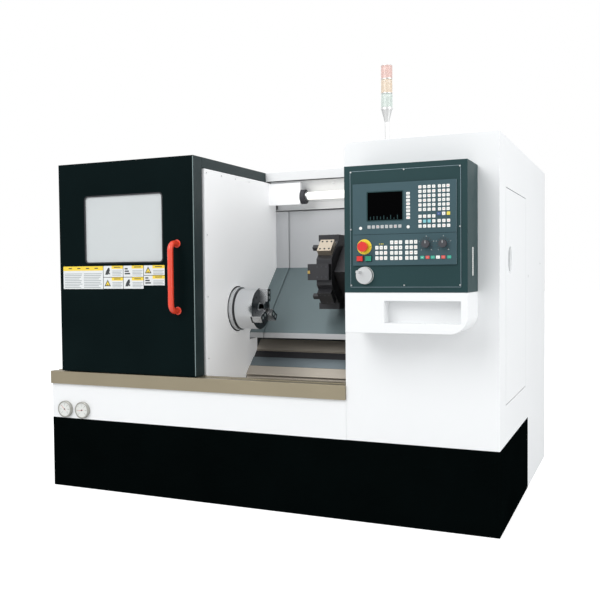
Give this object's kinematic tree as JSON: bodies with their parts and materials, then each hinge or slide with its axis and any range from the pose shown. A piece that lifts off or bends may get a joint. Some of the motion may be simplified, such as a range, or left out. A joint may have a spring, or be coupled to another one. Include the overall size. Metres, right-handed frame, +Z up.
{
  "type": "cnc turning lathe",
  "caption": "Enclosed slant-bed turning lathe with sliding guard door, power chuck, tool turret, control desk and beacon.",
  "frame": {"origin": "floor point under the middle of the outer box", "axes": "+X to the machine's right, +Y to its back, +Z up"},
  "size_m": [2.28, 1.833, 1.982],
  "materials": {
    "black_paint": "semi-gloss black paint",
    "white_paint": "white enamel",
    "cast_iron": "machined cast iron",
    "ground_steel": "ground steel",
    "sill_steel": "warm brushed stainless",
    "cover_grey": "grey sheet steel",
    "door_paint": "gloss black-green paint",
    "window_glass": "laminated safety glass",
    "red_plastic": "red moulded",
    "desk_green": "dark grey-green paint",
    "panel_teal": "grey-teal film",
    "key_white": "pale key caps",
    "green_plastic": "green moulded",
    "knob_black": "black moulded",
    "chuck_steel": "ground and polished steel",
    "black_oxide": "black oxide steel",
    "rubber": "belt rubber",
    "lens_clear": "tinted lens",
    "motor_grey": "grey motor paint",
    "aluminium": "satin aluminium"
  },
  "bodies": {
    "machine": {"base_plinth": "black_paint", "levelling_feet": "ground_steel", "bed_casting": "cast_iron", "z_guide_rails": "ground_steel", "lower_front_panel": "white_paint", "pressure_gauges": "aluminium", "door_sill": "sill_steel", "left_side_panel": "white_paint", "headstock_cover": "white_paint", "headstock_side_wall": "white_paint", "chamber_header": "white_paint", "roof": "white_paint", "right_front_cabinet": "white_paint", "right_side_panel": "white_paint", "rear_panel": "white_paint", "way_cover_fixed": "cover_grey", "chip_chute": "cover_grey", "work_lamp": "aluminium", "headstock_casting": "cast_iron", "drive_belt": "rubber", "spindle_motor": "motor_grey", "z_motor": "motor_grey", "console": "white_paint", "control_housing": "desk_green", "control_plate": "desk_green", "display_unit": "panel_teal", "operator_unit": "panel_teal", "panel_keys": "key_white", "beacon_pole": "aluminium", "beacon_lenses": "lens_clear"},
    "sliding_door": {"door_panel": "door_paint", "door_top_panel": "door_paint", "door_window": "window_glass", "door_handle": "red_plastic"},
    "spindle_line": {"spindle": "ground_steel", "spindle_pulley": "cast_iron", "chuck_body": "chuck_steel"},
    "jaw_1": {"chuck_jaw_1": "chuck_steel"},
    "jaw_2": {"chuck_jaw_2": "chuck_steel"},
    "jaw_3": {"chuck_jaw_3": "chuck_steel"},
    "motor_shaft": {"motor_pulley": "cast_iron"},
    "carriage": {"saddle": "cast_iron", "way_cover_moving": "cover_grey", "x_motor": "motor_grey"},
    "z_screw_shaft": {"z_screw": "ground_steel"},
    "x_screw_shaft": {"x_screw": "ground_steel"},
    "cross_slide_unit": {"cross_slide": "cast_iron", "turret_housing": "black_oxide"},
    "turret": {"turret_disc": "black_oxide", "tool_holders": "black_oxide"},
    "e_stop": {"e_stop_button": "red_plastic"},
    "stop_push": {"stop_button": "red_plastic"},
    "start_push": {"start_button": "green_plastic"},
    "feed_override": {"feed_knob": "knob_black"},
    "speed_override": {"speed_knob": "knob_black"},
    "hand_pulse_wheel": {"handwheel": "aluminium"},
    "side_access_door": {"side_door": "white_paint"},
    "side_latch": {"side_door_latch": "black_paint"},
    "electrical_door": {"rear_door": "white_paint"},
    "isolator": {"main_switch": "red_plastic"}
  },
  "joints": [
    {"name": "door_slide", "type": "slide", "parent": "machine", "child": "sliding_door", "axis": [1, 0, 0], "range_m": [0, 0.754]},
    {"name": "spindle_spin", "type": "hinge", "parent": "machine", "child": "spindle_line", "pos_m": [-0.24, -0.2465, 0.905], "axis": [1, 0, 0], "continuous": true},
    {"name": "jaw_1_grip", "type": "slide", "parent": "spindle_line", "child": "jaw_1", "axis": [0, 0, 1], "range_m": [-0.003, 0.003]},
    {"name": "jaw_2_grip", "type": "slide", "parent": "spindle_line", "child": "jaw_2", "axis": [0, -0.866, -0.5], "range_m": [-0.003, 0.003]},
    {"name": "jaw_3_grip", "type": "slide", "parent": "spindle_line", "child": "jaw_3", "axis": [0, 0.866, -0.5], "range_m": [-0.003, 0.003]},
    {"name": "motor_spin", "type": "hinge", "parent": "machine", "child": "motor_shaft", "pos_m": [-0.8, -0.2465, 0.3], "axis": [1, 0, 0], "continuous": true},
    {"name": "carriage_slide", "type": "slide", "parent": "machine", "child": "carriage", "axis": [1, 0, 0], "range_m": [-0.15, 0.18]},
    {"name": "z_screw_turn", "type": "hinge", "parent": "machine", "child": "z_screw_shaft", "pos_m": [0.26, 0.13952, 0.85839], "axis": [1, 0, 0], "range_deg": [-5400.1, 6480.1]},
    {"name": "cross_feed", "type": "slide", "parent": "carriage", "child": "cross_slide_unit", "axis": [0, -0.7071, -0.7071], "range_m": [-0.015, 0.11]},
    {"name": "x_screw_turn", "type": "hinge", "parent": "carriage", "child": "x_screw_shaft", "pos_m": [0.455, 0.05538, 0.94253], "axis": [0, -0.7071, -0.7071], "range_deg": [-540.1, 3960.1]},
    {"name": "turret_index", "type": "hinge", "parent": "cross_slide_unit", "child": "turret", "pos_m": [0.21, -0.08463, 1.09103], "axis": [1, 0, 0], "continuous": true},
    {"name": "e_stop_press", "type": "slide", "parent": "machine", "child": "e_stop", "axis": [0, 1, 0], "range_m": [0, 0.004], "stiffness_N_per_m": 800, "springref_m": -0.002},
    {"name": "stop_press", "type": "slide", "parent": "machine", "child": "stop_push", "axis": [0, 1, 0], "range_m": [0, 0.003], "stiffness_N_per_m": 300, "springref_m": -0.001},
    {"name": "start_press", "type": "slide", "parent": "machine", "child": "start_push", "axis": [0, 1, 0], "range_m": [0, 0.003], "stiffness_N_per_m": 300, "springref_m": -0.001},
    {"name": "feed_knob_turn", "type": "hinge", "parent": "machine", "child": "feed_override", "pos_m": [0.893, -0.8865, 1.196], "axis": [0, -1, 0], "range_deg": [-140, 140]},
    {"name": "speed_knob_turn", "type": "hinge", "parent": "machine", "child": "speed_override", "pos_m": [0.96, -0.8865, 1.196], "axis": [0, -1, 0], "range_deg": [-140, 140]},
    {"name": "handwheel_turn", "type": "hinge", "parent": "machine", "child": "hand_pulse_wheel", "pos_m": [0.64, -0.8815, 1.075], "axis": [0, -1, 0], "continuous": true},
    {"name": "side_door_swing", "type": "hinge", "parent": "machine", "child": "side_access_door", "pos_m": [1.14, 0.0915, 0.98], "axis": [0, 0, 1], "range_deg": [0, 110]},
    {"name": "side_latch_turn", "type": "hinge", "parent": "side_access_door", "child": "side_latch", "pos_m": [1.135, -0.3995, 1.136], "axis": [1, 0, 0], "range_deg": [0, 90]},
    {"name": "rear_door_swing", "type": "hinge", "parent": "machine", "child": "electrical_door", "pos_m": [0.061, 0.8925, 0.975], "axis": [0, 0, 1], "range_deg": [0, 110]},
    {"name": "isolator_turn", "type": "hinge", "parent": "electrical_door", "child": "isolator", "pos_m": [0.76, 0.9005, 1.18], "axis": [0, 1, 0], "range_deg": [0, 90]}
  ],
  "couplings": [
    {"joint": "jaw_2_grip", "follows": "jaw_1_grip", "ratio": 1},
    {"joint": "jaw_3_grip", "follows": "jaw_1_grip", "ratio": 1},
    {"joint": "motor_spin", "follows": "spindle_spin", "ratio": 1},
    {"joint": "z_screw_turn", "follows": "carriage_slide", "rad_per_m": 628.32},
    {"joint": "x_screw_turn", "follows": "cross_feed", "rad_per_m": 628.32}
  ]
}
